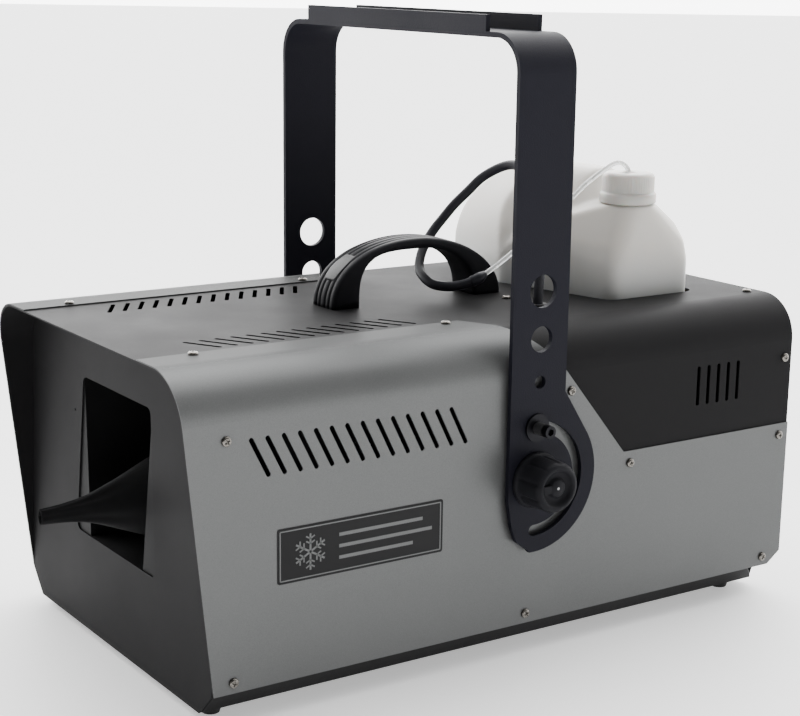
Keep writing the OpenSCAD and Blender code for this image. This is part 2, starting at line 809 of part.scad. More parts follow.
module tank_cap() {
    color("#f1f0ec") translate([cap_x, cap_y, cap_z]) difference() {
        union() {
            cylinder(r = 23.6, h = 8);
            translate([0, 0, 8 - eps]) cylinder(r = 21.6, h = cap_h - 9 + eps);
            translate([0, 0, cap_h - 1 - eps]) cylinder(r1 = 21.6, r2 = 20.6, h = 1 + eps);
            for (a = [0 : 15 : 345]) rotate([0, 0, a])
                translate([21.2, 0, 9]) cylinder(r = 0.9, h = cap_h - 12);
        }
        translate([0, 0, -1]) cylinder(r = neck_r + 0.4, h = cap_h - 2);
        translate([0, 0, -1]) cylinder(r = tube_r + 0.4, h = cap_h + 5);
    }
}

// Stiff suction tube hanging in the tank, with a strainer at its foot
module pickup_tube() {
    color("#d9dde0") translate([cap_x, cap_y, 0]) {
        translate([0, 0, tank_z + 16]) cylinder(r = tube_r, h = 352 - tank_z - 16);
        translate([0, 0, tank_z + 5]) cylinder(r = 6, h = 12);
    }
}

module clear_tube() color("#dfe6e8") swept_tube(tube_route, tube_r, 8);
module black_hose() color("#1c1c1f") swept_tube(hose_route, hose_r, 10);

module hose_grommet() {
    color("#151517") translate([grommet[0], grommet[1], 0]) difference() {
        union() {
            translate([0, 0, cover_top + 0.05]) cylinder(r = 8, h = 2.6);
            translate([0, 0, inner_top - 0.1]) cylinder(r = 5.4, h = sheet + 1);
            translate([0, 0, inner_top - 2.6]) cylinder(r = 7.5, h = 2.5);
        }
        translate([0, 0, inner_top - 10]) cylinder(r = hose_r + 0.1, h = 30);
    }
}

// ---- handle ---------------------------------------------------------------------

// Points of a lopsided arch: a fuller front shoulder and a longer rear one
function arch_points(mid, half, high, front, rear) = [
    for (a = [0 : 5 : 180])
        let (n = a > 90 ? front : rear, c = cos(a), s = sin(a))
            [mid + half * sign(c) * pow(abs(c), 2 / n), high * pow(abs(s), 2 / n)]
];
module handle_outline(inset)
    polygon(arch_points(handle_y, handle_l / 2 - inset, handle_h - inset, 2.15, 1.95));

// The recess in each shoulder that takes a screw cover
module shoulder_pocket(gap) {
    for (y = [handle_y - handle_l / 2 + 6, handle_y + handle_l / 2 - 28])
        translate([-6 + gap, y + gap, cover_top + 14])
            cube([12 - 2 * gap, 22 - 2 * gap, handle_h]);
}

module handle() {
    half = handle_w / 2;
    color("#222225") difference() {
        translate([0, 0, cover_top]) along_x(-half, handle_w) difference() {
            handle_outline(0);
            translate([0, -eps]) polygon(arch_points(handle_y - 1, 55.5, handle_h - 9, 3.4, 2.4));
        }
        for (x = [-10.5, 10.5]) translate([0, 0, cover_top]) along_x(x - 0.8, 1.6) difference() {
            translate([100, 8]) square([320, 90]);
            handle_outline(1.2);
        }
        for (y = handle_screw_y) translate([0, y, cover_top - 5]) cylinder(r = 2.5, h = 18);
        intersection() {
            shoulder_pocket(0);
            translate([0, 0, cover_top]) along_x(-half, handle_w) difference() {
                handle_outline(-5);
                handle_outline(2.2);
            }
        }
    }
}

module handle_inserts() {
    color("#0f0f11") intersection() {
        shoulder_pocket(0.15);
        translate([0, 0, cover_top]) along_x(-handle_w / 2, handle_w) difference() {
            handle_outline(0.6);
            handle_outline(2.1);
        }
    }
}

// ---- yoke -----------------------------------------------------------------------

// The quadrant plate at the foot of a leg, as a (y, z) outline
module quadrant_2d() {
    front = pivot_y + 1 - yoke_w / 2;
    back = front + yoke_w;
    translate([front, pivot_z - 5]) square([yoke_w, 75]);
    intersection() {
        translate([pivot_y, pivot_z]) circle(quadrant_r, $fn = 96);
        polygon([
            [front, pivot_z + 40], [front, pivot_z - 14], [front + 4, pivot_z - 36],
            [front + 9, pivot_z - 48], [front + 20, pivot_z - 56], [front + 30, pivot_z - 70],
            [back + 60, pivot_z - 70], [back + 60, pivot_z + 40]
        ]);
    }
    // Straight shoulder from the leg's rear edge, tangent to the quadrant
    polygon([
        [back - 5, pivot_z + 66], [back, pivot_z + 66],
        [pivot_y + quadrant_r * cos(31), pivot_z + quadrant_r * sin(31)], [back - 5, pivot_z + 20]
    ]);
}

// Half a turn of slot, from straight above the pivot round the back
module guide_slot_2d() {
    difference() {
        circle(guide_r + slot_half, $fn = 96);
        circle(guide_r - slot_half, $fn = 96);
        translate([-100, -100]) square([100, 200]);
    }
    for (s = [-1, 1]) translate([0, s * guide_r]) circle(slot_half);
}

module yoke() {
    front = pivot_y + 1 - yoke_w / 2;
    color("#2d2d33") difference() {
        union() {
            along_y(front, yoke_w) difference() {
                tunnel(yoke_out_x, yoke_top, yoke_bend, pivot_z + 30);
                tunnel(yoke_in_x, yoke_top - yoke_t, yoke_bend - yoke_t, pivot_z);
            }
            both_sides() along_x(yoke_in_x, yoke_t) quadrant_2d();
            for (y = [front, front + yoke_w - yoke_t])
                translate([-127, y, yoke_top - 1]) cube([254, yoke_t, lip_h + 1]);
        }
        both_sides() translate([0, pivot_y, pivot_z]) {
            rod_x(pivot_hole_r, yoke_in_x - 5, 20);
            along_x(yoke_in_x - 5, 20) guide_slot_2d();
            for (h = leg_holes) translate([0, h[1], h[0]]) rod_x(h[2], yoke_in_x - 5, 20);
        }
        translate([0, front + yoke_w / 2, yoke_top - 10]) cylinder(r = hook_hole_r, h = 20);
    }
}

module pivot_washers() {
    color("#e8e6df") both_sides() translate([0, pivot_y, pivot_z]) difference() {
        rod_x(14, side_x, yoke_in_x - side_x - 0.3);
        rod_x(stud_r + 0.3, side_x - 5, 20);
    }
}

module pivot_nuts() {
    color("#a8abae") both_sides() translate([0, pivot_y, pivot_z]) {
        difference() {
            rod_x(9, inner_x - 9, 8.9);
            rod_x(stud_r + 0.06, inner_x - 12, 20);
        }
        translate([0, 0, guide_r]) difference() {
            rod_x(6, inner_x - 7, 6.9);
            rod_x(guide_screw_r + 0.02, inner_x - 12, 20);
        }
    }
}

// Round tilt knob with finger flutes and a dished face
module tilt_knob() {
    x0 = yoke_out_x + knob_gap;
    color("#1b1b1e") translate([0, pivot_y, pivot_z]) difference() {
        union() {
            rod_x(knob_r + 1.5, x0, 4);
            rod_x(knob_r, x0 + 4 - eps, knob_h - 6 + eps);
            translate([x0 + knob_h - 2 - eps, 0, 0]) rotate([0, 90, 0])
                cylinder(r1 = knob_r, r2 = knob_r - 2, h = 2);
        }
        for (a = [0 : 45 : 315]) rotate([a, 0, 0]) translate([0, 0, knob_r + 3.2])
            rod_x(5, x0 + 4, knob_h);
        difference() {
            rod_x(12, x0 + knob_h - 4, 5);
            rod_x(7, x0 + knob_h - 6, 8);
            translate([x0, -20, -3]) cube([knob_h + 5, 20, 6]);
        }
        rod_x(stud_r + 0.05, x0 - 1, knob_h - 6);
    }
}

module knob_stud() {
    color("#b9bbbd") translate([0, pivot_y, pivot_z])
        rod_x(stud_r, inner_x - 11, yoke_out_x + knob_gap + knob_h - 8 - inner_x + 11);
}

module knob_right() tilt_knob();
module knob_left() mirror([1, 0, 0]) tilt_knob();
module knob_stud_right() knob_stud();
module knob_stud_left() mirror([1, 0, 0]) knob_stud();

module at_guide() both_sides() translate([0, pivot_y, pivot_z + guide_r]) children();

module guide_screws() {
    head_x = yoke_out_x + 11.5;
    color("#77797c") at_guide() difference() {
        union() {
            rod_x(guide_screw_r, inner_x - 8, head_x - inner_x + 8 + eps);
            rod_x(4.9, head_x, 6);
        }
        translate([head_x + 3, 0, 0]) rotate([0, 90, 0]) cylinder(r = 2.9, h = 5, $fn = 6);
    }
}

module guide_washers() {
    color("#5b5d60") at_guide() difference() {
        rod_x(10.8, yoke_out_x + 0.3, 1.7);
        rod_x(guide_screw_r + 0.1, yoke_out_x - 1, 6);
    }
}

module guide_sleeves() {
    color("#2c2c2e") at_guide() difference() {
        rod_x(5, yoke_out_x + 2, 9.5);
        rod_x(guide_screw_r + 0.1, yoke_out_x + 1, 15);
    }
}

// ---- rear controls --------------------------------------------------------------

module mains_inlet() {
    y0 = rear_y + sheet;
    color("#141416") translate([-92, 0, control_z]) difference() {
        union() {
            along_y(y0, 3) rounded_square(34, 50, 3);
            along_y(y0 - 28, 28 + eps) square([28, 40], center = true);
        }
        along_y(y0 - 16, 30) translate([0, 7]) rounded_square(24, 17, 3);
        along_y(y0 - 20, 30) translate([0, -13]) square([24, 9.2], center = true);
    }
    color("#c0a060") for (p = [[-7, 5], [0, 9], [7, 5]])
        translate([-92 + p[0] - 1, y0 - 16 - eps, control_z + p[1] - 2]) cube([2, 13, 4]);
}

module fuse_drawer() {
    y0 = rear_y + sheet;
    color("#1a1a1c") translate([-92, 0, control_z - 13]) {
        along_y(y0 - 19, 22.6) square([23.6, 8.8], center = true);
        along_y(y0 + 3.5, 1.2) translate([0, -1]) square([12, 8], center = true);
    }
}

module switch_frame() {
    y0 = rear_y + sheet;
    color("#141416") translate([-36, 0, control_z]) difference() {
        union() {
            along_y(y0, 2) rounded_square(26, 33, 2);
            along_y(y0 - 22, 22 + eps) square([22, 28], center = true);
        }
        along_y(y0 - 8, 20) square([18, 25], center = true);
    }
}

// Rocker, tipped one way at rest, that turns about the X axis through its middle
module switch_rocker() {
    y0 = rear_y + sheet;
    color("#b02020") translate([-36, y0 - 1, control_z]) rotate([-9, 0, 0]) {
        translate([0, 1 - y0, 0]) along_x(-8.6, 17.2) difference() {
            translate([y0 - 5, -11]) square([8, 22]);
            translate([y0 + 52, 0]) circle(50, $fn = 96);
        }
        rod_x(1.2, -8.9, 17.8);
    }
}

module output_knob() {
    y0 = knob_y;
    color("#232326") translate([20, 0, control_z]) difference() {
        union() {
            rod_y(10, y0, knob_l);
            rod_y(12, y0, 3);
            translate([-0.8, y0 + knob_l - eps, 2]) cube([1.6, 0.8 + eps, 7.5]);
        }
        rod_y(3.05, y0 - 1, 9);
    }
}

module potentiometer() {
    y0 = rear_y;
    color("#9a9da0") translate([20, 0, control_z]) {
        rod_y(8, y0 - 9, 8.9);
        rod_y(3.6, y0 - 1, sheet + 1);
        rod_y(3, y0, sheet + 7);
    }
}

module remote_socket() {
    y0 = rear_y + sheet;
    color("#55585b") translate([78, 0, control_z]) difference() {
        union() {
            along_y(y0, 2.4) difference() {
                rounded_square(26, 31, 3);
                for (s = [-1, 1]) translate([s * 9.5, -s * 12]) circle(1.6);
            }
            rod_y(11.8, y0 - 22, 22 + eps);
        }
        rod_y(9.4, y0 - 16, 30);
    }
    color("#c0a060") for (a = [-30, 90, 210]) translate([78 + 5 * cos(a), 0, control_z + 5 * sin(a)])
        rod_y(1.2, y0 - 16 - eps, 10);
}

placed() base_tray();
placed() feet();
placed() front_panel();
placed() top_cover();
placed() side_panel_right();
placed() side_panel_left();
placed() rear_panel();
placed() cover_screws();
placed() socket_screws();
placed() name_plate();
placed() outlet_duct();
placed() nozzle_pipe();
placed() snow_sock();
placed() spray_nozzle();
placed() blower_housing();
placed() impeller();
placed() motor_shaft();
placed() blower_motor();
placed() blower_stand();
placed() pump();
placed() pump_bracket();
placed() pump_hose();
placed() control_board();
placed() board_parts();
placed() board_posts();
placed() transformer();
placed() terminal_block();
placed() tank_tray();
placed() tank();
placed() tank_cap();
placed() pickup_tube();
placed() clear_tube();
placed() black_hose();
placed() hose_grommet();
placed() handle();
placed() handle_inserts();
placed() handle_screws();
placed() yoke();
placed() pivot_washers();
placed() pivot_nuts();
placed() knob_right();
placed() knob_left();
placed() knob_stud_right();
placed() knob_stud_left();
placed() guide_screws();
placed() guide_washers();
placed() guide_sleeves();
placed() mains_inlet();
placed() fuse_drawer();
placed() switch_frame();
placed() switch_rocker();
placed() output_knob();
placed() potentiometer();
placed() remote_socket();
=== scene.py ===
"""Looks of the snow machine: its camera and light, soft pieces, hoses and materials.

Everything is in metres in the row frame: the front faces -Y and the floor is z = 0.
"""
import json
import math

import bmesh
import bpy
from mathutils import Matrix, Vector

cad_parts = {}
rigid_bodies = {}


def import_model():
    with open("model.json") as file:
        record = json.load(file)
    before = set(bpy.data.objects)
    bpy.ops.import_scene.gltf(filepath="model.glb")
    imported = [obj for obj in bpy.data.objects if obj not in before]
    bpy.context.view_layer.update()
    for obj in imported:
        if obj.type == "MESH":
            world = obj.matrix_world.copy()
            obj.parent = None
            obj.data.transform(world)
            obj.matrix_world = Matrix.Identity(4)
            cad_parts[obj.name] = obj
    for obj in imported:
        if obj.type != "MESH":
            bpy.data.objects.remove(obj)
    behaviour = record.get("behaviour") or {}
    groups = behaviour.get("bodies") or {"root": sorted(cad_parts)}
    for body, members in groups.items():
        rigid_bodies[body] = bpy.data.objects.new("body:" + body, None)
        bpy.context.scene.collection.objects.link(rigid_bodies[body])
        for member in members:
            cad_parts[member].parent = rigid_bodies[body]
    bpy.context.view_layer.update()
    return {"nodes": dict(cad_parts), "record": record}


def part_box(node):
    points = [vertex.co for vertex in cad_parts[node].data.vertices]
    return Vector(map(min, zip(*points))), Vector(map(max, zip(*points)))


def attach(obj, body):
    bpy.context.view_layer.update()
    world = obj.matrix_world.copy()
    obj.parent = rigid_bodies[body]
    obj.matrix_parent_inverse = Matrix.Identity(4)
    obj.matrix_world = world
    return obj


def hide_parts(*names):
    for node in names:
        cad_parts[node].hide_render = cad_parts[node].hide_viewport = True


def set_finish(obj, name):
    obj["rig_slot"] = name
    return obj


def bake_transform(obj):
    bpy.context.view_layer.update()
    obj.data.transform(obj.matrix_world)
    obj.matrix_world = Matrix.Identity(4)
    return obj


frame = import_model()

NODES = frame["nodes"]
MM = 0.001
# The front panel's foot, from which part.scad counts distances towards the rear
SHOP = Vector((0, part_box("snow_sock")[0].y + 53 * MM, 0))


def at(x, y, z):
    """A place given in the design's own millimetres."""
    return Vector((x, y, z)) * MM + SHOP


# ---- camera ----------------------------------------------------------------------

CAMERA_PLACE = at(1175.8, -522.2, 524.7)
CAMERA_YAW = math.radians(-55.645)
CAMERA_PITCH = math.radians(-14.012)
CAMERA_ROLL = math.radians(0.888)
CAMERA_LENS = 78.6
CAMERA_SHIFT = (-0.0246, 0.0510)


def make_camera():
    sy, cy = math.sin(CAMERA_YAW), math.cos(CAMERA_YAW)
    sp, cp = math.sin(CAMERA_PITCH), math.cos(CAMERA_PITCH)
    sr, cr = math.sin(CAMERA_ROLL), math.cos(CAMERA_ROLL)
    forward = Vector((sy * cp, cy * cp, sp))
    level = Vector((cy, -sy, 0))
    upright = level.cross(forward)
    right = level * cr + upright * sr
    up = upright * cr - level * sr
    camera = bpy.data.objects.new("camera", bpy.data.cameras.new("camera"))
    camera.matrix_world = Matrix((
        (right.x, up.x, -forward.x, CAMERA_PLACE.x),
        (right.y, up.y, -forward.y, CAMERA_PLACE.y),
        (right.z, up.z, -forward.z, CAMERA_PLACE.z),
        (0, 0, 0, 1)))
    camera.data.sensor_width = 36
    camera.data.lens = CAMERA_LENS
    camera.data.shift_x, camera.data.shift_y = CAMERA_SHIFT
    camera.data.clip_end = 20
    bpy.context.scene.collection.objects.link(camera)
    bpy.context.scene.camera = camera


make_camera()


# ---- mesh helpers ----------------------------------------------------------------

def piece(name, verts, faces, body, slot, smooth=True):
    """A new mesh object that rides on a body and takes its finish from a slot."""
    mesh = bpy.data.meshes.new(name)
    mesh.from_pydata([tuple(v) for v in verts], [], faces)
    mesh.validate()
    mesh.update()
    bm = bmesh.new()
    bm.from_mesh(mesh)
    bmesh.ops.recalc_face_normals(bm, faces=bm.faces)
    bm.to_mesh(mesh)
    bm.free()
    for polygon in mesh.polygons:
        polygon.use_smooth = smooth
    obj = bpy.data.objects.new(name, mesh)
    bpy.context.scene.collection.objects.link(obj)
    if body:
        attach(obj, body)
    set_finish(obj, slot)
    return obj


def skin(rings, closed=True, caps=True):
    """Faces that join rings of points, one after the other."""
    count = len(rings[0])
    verts = [p for ring in rings for p in ring]
    faces = []
    for i in range(len(rings) - 1):
        for k in range(count if closed else count - 1):
            a, b = i * count + k, i * count + (k + 1) % count
            faces.append((a, b, b + count, a + count))
    if caps:
        faces.append(tuple(range(count - 1, -1, -1)))
        faces.append(tuple(range((len(rings) - 1) * count, len(rings) * count)))
    return verts, faces


def smooth_path(points, step=2.5 * MM):
    """A Catmull-Rom curve through the points, in short even steps."""
    ends = [points[0] * 2 - points[1]] + list(points) + [points[-1] * 2 - points[-2]]
    path = []
    for a, b, c, d in zip(ends, ends[1:], ends[2:], ends[3:]):
        n = max(2, round((c - b).length / step))
        for i in range(n):
            t = i / n
            path.append(0.5 * (2 * b + (c - a) * t + (2 * a - 5 * b + 4 * c - d) * t ** 2
                               + (3 * b - a - 3 * c + d) * t ** 3))
    return path + [points[-1]]


def tube_rings(path, radius, sides):
    """Round rings along a path, turned as little as possible from one to the next."""
    rings, side = [], None
    for i, p in enumerate(path):
        ahead = (path[min(i + 1, len(path) - 1)] - path[max(i - 1, 0)]).normalized()
        if side is None:
            side = ahead.orthogonal()
        side = (side - ahead * side.dot(ahead)).normalized()
        other = ahead.cross(side)
        r = radius(i / (len(path) - 1)) if callable(radius) else radius
        rings.append([p + r * (math.cos(a) * side + math.sin(a) * other)
                      for a in (2 * math.pi * k / sides for k in range(sides))])
    return rings


def lathe(profile, sides, centre, axis, wave=None):
    """Rings of a turned shape: profile holds (radius, distance along the axis)."""
    axis = Vector(axis)
    side = axis.orthogonal().normalized()
    other = axis.cross(side)
    rings = []
    for r, h in profile:
        ring = []
        for k in range(sides):
            a = 2 * math.pi * k / sides
            grown = r + (wave(a, r, h) if wave else 0)
            ring.append(centre + axis * h
                        + grown * (math.cos(a) * side + math.sin(a) * other))
        rings.append(ring)
    return rings


def islands(node):
    """Boxes of the separate solids in a CAD node."""
    bm = bmesh.new()
    bm.from_mesh(NODES[node].data)
    bmesh.ops.remove_doubles(bm, verts=bm.verts, dist=1e-6)
    left, boxes = set(bm.verts), []
    while left:
        queue, seen = [left.pop()], []
        while queue:
            v = queue.pop()
            seen.append(v.co.copy())
            for e in v.link_edges:
                w = e.other_vert(v)
                if w in left:
                    left.remove(w)
                    queue.append(w)
        low = Vector([min(c[i] for c in seen) for i in range(3)])
        high = Vector([max(c[i] for c in seen) for i in range(3)])
        boxes.append((low, high))
    bm.free()
    return sorted(boxes, key=lambda b: tuple(b[0]))


# ---- hoses -----------------------------------------------------------------------

HOSE_JOINT = at(42, 309, 276)
HOSE_DIAMETER = 8 * MM
TUBE_DIAMETER = 4 * MM
HOSE_ROUTE = [HOSE_JOINT] + [at(*p) for p in (
    (37, 303, 272), (30, 296, 269), (22, 289, 268), (12, 284, 269), (1, 283, 273),
    (-10, 286, 278), (-19, 293, 286), (-25, 302, 296), (-28, 312, 306), (-28, 322, 316),
    (-25, 331, 327), (-20, 341, 338), (-13, 349, 349), (-3, 356, 357), (9, 360, 362),
    (22, 361, 363), (36, 359, 360), (49, 356, 353), (60, 352, 343), (69, 348, 330),
    (76, 344, 315), (81, 341, 298), (84, 339, 281), (84, 338, 262), (84, 338, 245),
    (84, 338, 220), (84, 338, 195), (84, 338, 170), (84, 337, 145), (84, 334, 120),
    (84, 330, 100), (84, 328, 84), (84, 328, 71))]
TUBE_ROUTE = [at(*p) for p in (
    (66.5, 444, 352), (66.5, 444, 358), (66, 441, 363), (65, 435, 366), (64, 428, 365),
    (61, 417, 358), (58, 405, 349), (55, 393, 338), (52, 380, 327), (49, 367, 316),
    (47, 354, 305), (46, 341, 296), (45, 329, 288), (44, 319, 282))] + [HOSE_JOINT]


def make_hoses():
    path = smooth_path(HOSE_ROUTE)
    hose = piece("black_hose_visual", *skin(tube_rings(path, HOSE_DIAMETER / 2, 20)),
                 "housing", "hose_rubber")
    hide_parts("black_hose")
    # A short sleeve where the clear tube is pushed into the hose
    joint = smooth_path([HOSE_ROUTE[1], HOSE_JOINT, TUBE_ROUTE[-2]], 1.5 * MM)
    sleeve = piece(
        "hose_joint_sleeve",
        *skin(tube_rings(joint[2:-3], lambda t: (4.6 - 2.0 * max(0, t - 0.6) / 0.4) * MM, 20)),
        "housing", "hose_rubber")

    path = smooth_path(TUBE_ROUTE)
    tube = piece("clear_tube_visual", *skin(tube_rings(path, TUBE_DIAMETER / 2, 16)),
                 None, "clear_plastic")
    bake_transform(tube)
    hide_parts("clear_tube")


make_hoses()


# ---- tank ------------------------------------------------------------------------

TANK_LOW, TANK_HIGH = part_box("tank")
TANK_MIDDLE = (TANK_LOW + TANK_HIGH) / 2
CAP_CENTRE = at(66.5, 444, 0)


def ease(t):
    t = min(1, max(0, t))
    return t * t * (3 - 2 * t)


def tank_slice(z, left, right, depth, inset=0.0):
    """The tank's six-sided plan at height z, squeezed between left and right (all in mm)."""
    low, high = TANK_LOW / MM, TANK_HIGH / MM
    half, end, mid = (high.x - low.x) / 2, 46, (high.y - low.y) / 2
    radius = 13
    centres = [(half - radius, end - radius), (0, mid - radius), (radius - half, end - radius),
               (radius - half, radius - end), (0, radius - mid), (half - radius, radius - end)]
    ring = []
    for x, y in centres:
        for k in range(16):
            a = math.pi * k / 8
            px, py = x + (radius - inset) * math.cos(a), y + (radius - inset) * math.sin(a)
            px = left + (px + half) / (2 * half) * (right - left)
            ring.append(Vector((px * MM, TANK_MIDDLE.y + py * depth * MM, z * MM)))
    return ring


def disc(z, centre, radius):
    return [Vector((centre.x + radius * MM * math.cos(a), centre.y + radius * MM * math.sin(a),
                    z * MM)) for a in (math.pi * k / 20 for k in range(40))]


def hull_into(bm, points):
    new = [bm.verts.new(p) for p in points]
    result = bmesh.ops.convex_hull(bm, input=new)
    spare = {v for v in result["geom_interior"] + result["geom_unused"]
             if isinstance(v, bmesh.types.BMVert)}
    bmesh.ops.delete(bm, geom=list(spare), context="VERTS")


def make_tank():
    """Blow-moulded bottle: upright walls, a shoulder up to the neck and a domed hump."""
    left, right = TANK_LOW.x / MM, TANK_HIGH.x / MM
    foot = TANK_LOW.z / MM
    bm = bmesh.new()
    shoulder = tank_slice(foot, left + 3, right - 3, 0.96)
    shoulder += tank_slice(foot + 5, left, right, 1) + tank_slice(284, left, right, 1)
    shoulder += tank_slice(300, left + 40, right - 2.5, 0.93)
    shoulder += tank_slice(315, left + 90, right - 8, 0.75)
    shoulder += disc(332.5, CAP_CENTRE, 23.0) + disc(326, TANK_MIDDLE + Vector((30 * MM, 0, 0)), 30)
    hull_into(bm, shoulder)
    hump, steps = [], 18
    for k in range(steps + 1):
        c, r = math.cos(math.pi / 2 * k / steps), math.sin(math.pi / 2 * k / steps)
        hump += tank_slice(276 + 81 * r, left + 108 * (1 - c), 26 + 62 * c ** 6, 0.08 + 0.92 * c)
    hull_into(bm, hump)
    rough = bpy.data.meshes.new("tank_rough")
    bm.to_mesh(rough)
    bm.free()
    # The two forms are fused and their meeting line softened, as a blown wall would be
    shape = bpy.data.objects.new("tank_rough", rough)
    bpy.context.scene.collection.objects.link(shape)
    fuse = shape.modifiers.new("fuse", "REMESH")
    fuse.mode = "VOXEL"
    fuse.voxel_size = 2.0 * MM
    soften = shape.modifiers.new("soften", "SMOOTH")
    soften.factor = 0.5
    soften.iterations = 14
    graph = bpy.context.evaluated_depsgraph_get()
    soft = shape.evaluated_get(graph).to_mesh()
    verts = [v.co.copy() for v in soft.vertices]
    faces = [tuple(f.vertices) for f in soft.polygons]
    bpy.data.objects.remove(shape)
    bpy.data.meshes.remove(rough)
    tank = piece("tank_visual", verts, faces, "tank", "tank_plastic")
    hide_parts("tank")

    # The threaded neck, mostly under the cap
    profile = [(22.0, 330.5), (20, 333), (19, 335), (19, 349), (16.5, 350), (16.5, 330.5)]
    neck = lathe([(r * MM, h * MM) for r, h in profile], 64, CAP_CENTRE, (0, 0, 1))
    piece("tank_neck", *skin(neck, caps=False), "tank", "tank_plastic")


def make_cap():
    profile = [(20.0, 333), (22.9, 333), (23.6, 333.6), (23.6, 340.4), (23.0, 341.2), (21.9, 341.6),
               (21.7, 343), (21.7, 354.4), (21.2, 356), (20.2, 357.2), (18.6, 357.9), (12, 358.1),
               (5.2, 358.1), (4.6, 358.8), (2.6, 358.8), (2.1, 358.0), (2.1, 354)]

    def ribs(angle, radius, height):
        on_wall = 0.0212 < radius < 0.022 and 0.342 < height < 0.3555
        return 0.22 * MM * max(0, math.cos(60 * angle)) if on_wall else 0

    rings = lathe([(r * MM, h * MM) for r, h in profile], 360, CAP_CENTRE, (0, 0, 1), ribs)
    cap = piece("tank_cap_visual", *skin(rings, caps=False), "tank_cap", "cap_plastic")
    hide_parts("tank_cap")


make_tank()
make_cap()


# ---- snow sock -------------------------------------------------------------------

SOCK_AXIS_Z = 122 * MM
SOCK_PROFILE = [  # radius and distance back, in millimetres
    (34.3, 84), (34.3, 74), (34.3, 66), (34.2, 58), (34.0, 50), (33.2, 42), (31.2, 35), (28.8, 29),
    (24.8, 19), (20.4, 8), (16.2, -3), (12.2, -14), (9.2, -25), (7.4, -36), (6.4, -46),
    (5.8, -57.5)]


def make_sock():
    path = [Vector((r, y, 0)) for r, y in SOCK_PROFILE]
    fine = smooth_path(path, 2.2)
    rings, sides = [], 96
    for p in fine:
        towards_tip = ease((40 - p.y) / 70)
        ring = []
        for k in range(sides):
            a = 2 * math.pi * k / sides
            # Soft gathers that fade in from the cuff, and a tip that is pressed flat
            fold = towards_tip * (0.055 * math.sin(5 * a + 0.035 * p.y)
                                  + 0.03 * math.sin(9 * a - 0.05 * p.y + 1.3))
            r = p.x * (1 + fold)
            flat = 1 - 0.35 * ease((-5 - p.y) / 50)
            ring.append(at(r * flat * math.cos(a), p.y,
                           SOCK_AXIS_Z / MM + r * (1.08 - 0.08 * flat) * math.sin(a)))
        rings.append(ring)
    verts, faces = skin(rings, caps=False)
    sock = piece("snow_sock_visual", verts, faces, "housing", "sock_fabric")
    thick = sock.modifiers.new("cloth", "SOLIDIFY")
    thick.thickness = 0.5 * MM
    thick.offset = -1
    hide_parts("snow_sock")
    # The stitched hem of the cuff, and a band a little way towards the tip
    for name, (r, y), wide in (("sock_cuff_hem", (34.5, 82.5), 1.0),
                               ("sock_band", (34.6, 70), 1.3)):
        ring = [at(r * math.cos(2 * math.pi * k / 96), y, SOCK_AXIS_Z / MM
                   + r * math.sin(2 * math.pi * k / 96)) for k in range(96)]
        loops = []
        for k, p in enumerate(ring):
            out = (p - at(0, y, SOCK_AXIS_Z / MM)).normalized()
            back = Vector((0, 1, 0))
            loops.append([p + wide * MM * (0.35 * math.cos(b) * out + math.sin(b) * back)
                          for b in (2 * math.pi * j / 8 for j in range(8))])
        verts, faces = skin(loops, caps=False)
        count = len(loops)
        faces += [(8 * (count - 1) + j, 8 * (count - 1) + (j + 1) % 8, (j + 1) % 8, j)
                  for j in range(8)]
        piece(name, verts, faces, "housing", "sock_fabric")


make_sock()


# ---- handle ----------------------------------------------------------------------

HANDLE_LOW, HANDLE_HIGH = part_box("handle")
HANDLE_HALF = (HANDLE_HIGH.x - HANDLE_LOW.x) / 2
# Middle, half length and height in mm, then the exponents of the front and rear halves
OUTER_ARCH = (268.5, 82.5, 51.5, 2.15, 1.95)
INNER_ARCH = (267.5, 55.5, 42.5, 3.4, 2.4)
COVER_ARCH = (268.5, 82.6, 51.6, 2.15, 1.95)    # just outside the handle's own skin


def arch(angle, middle, half, high, front, rear):
    """Point of the lopsided arch that part.scad draws, in millimetres over the cover."""
    c, s = math.cos(angle), max(0, math.sin(angle))
    n = front if c < 0 else rear
    return (middle + half * math.copysign(abs(c) ** (2 / n), c), high * s ** (2 / n))


